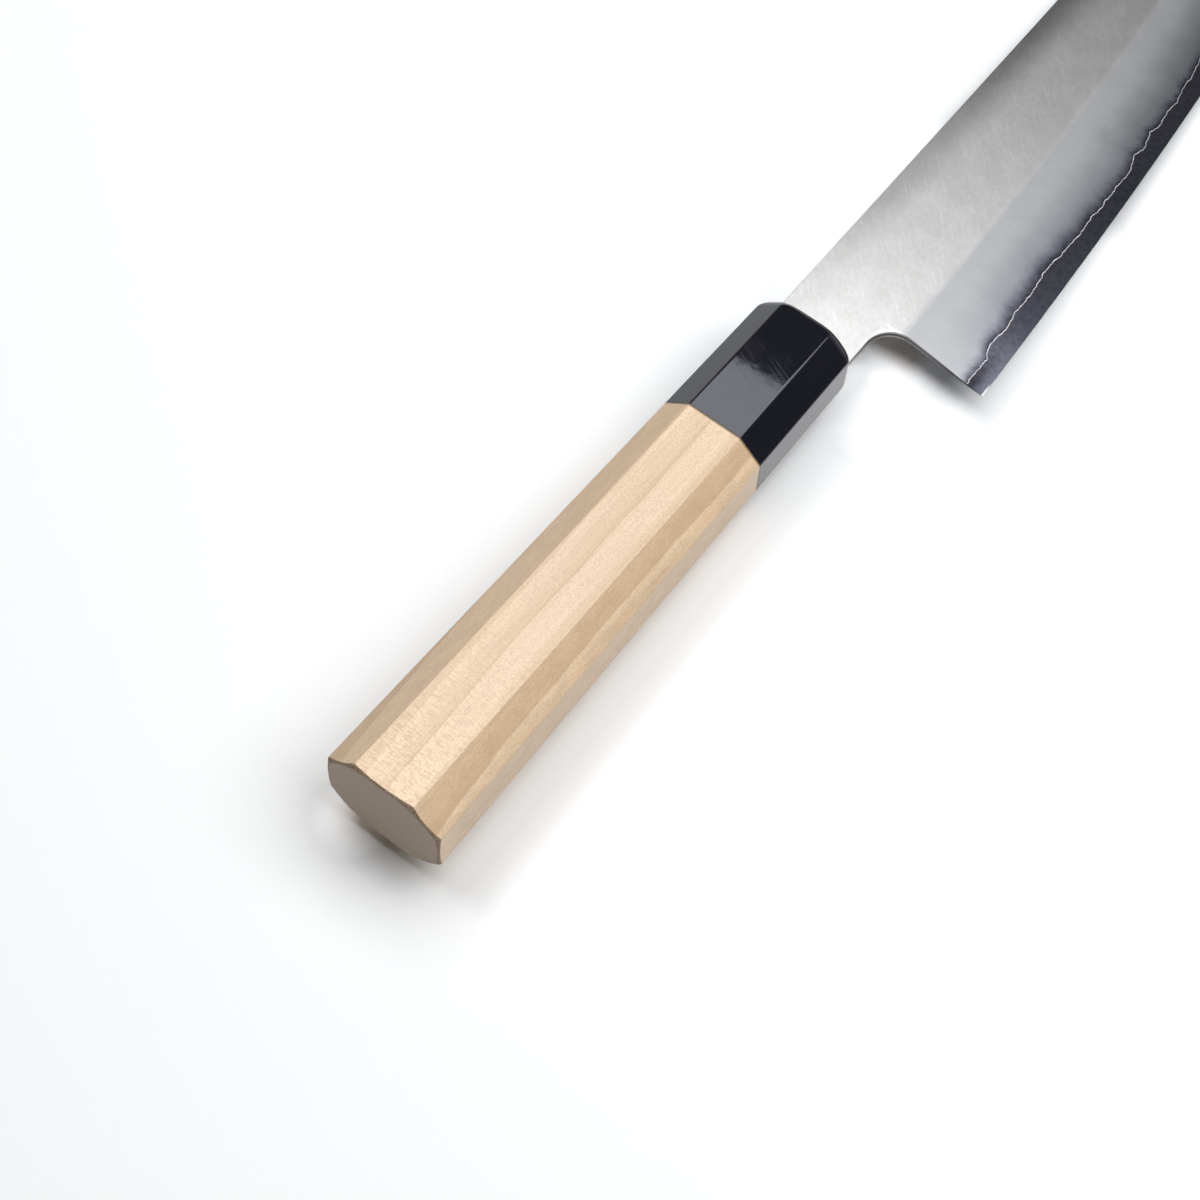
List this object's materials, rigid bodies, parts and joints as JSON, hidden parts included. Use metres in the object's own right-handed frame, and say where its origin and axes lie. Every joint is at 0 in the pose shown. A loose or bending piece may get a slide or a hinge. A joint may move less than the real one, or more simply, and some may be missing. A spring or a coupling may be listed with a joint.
{
  "type": "santoku knife",
  "caption": "Kitchen knife with a laminated double-bevelled blade that curves down to its tip, a rounded choil, a black polished ferrule and a tapered octagonal pale wood handle.",
  "frame": {"origin": "under the middle of the knife's bounding box, at the height of its lowest point, as it lies on its left face", "axes": "+X along the handle from butt to tip, +Y towards the spine, +Z out of the right face of the blade"},
  "size_m": [0.3072, 0.0478, 0.0218],
  "materials": {
    "core_steel": "polished",
    "cladding_steel": "brushed",
    "ferrule": "polished",
    "handle_wood": "sanded",
    "bedding": "cured"
  },
  "bodies": {
    "root": {"core_steel": "core_steel", "cladding_right": "cladding_steel", "cladding_left": "cladding_steel", "ferrule": "ferrule", "handle_body": "handle_wood", "tang_bedding": "bedding"}
  },
  "joints": []
}
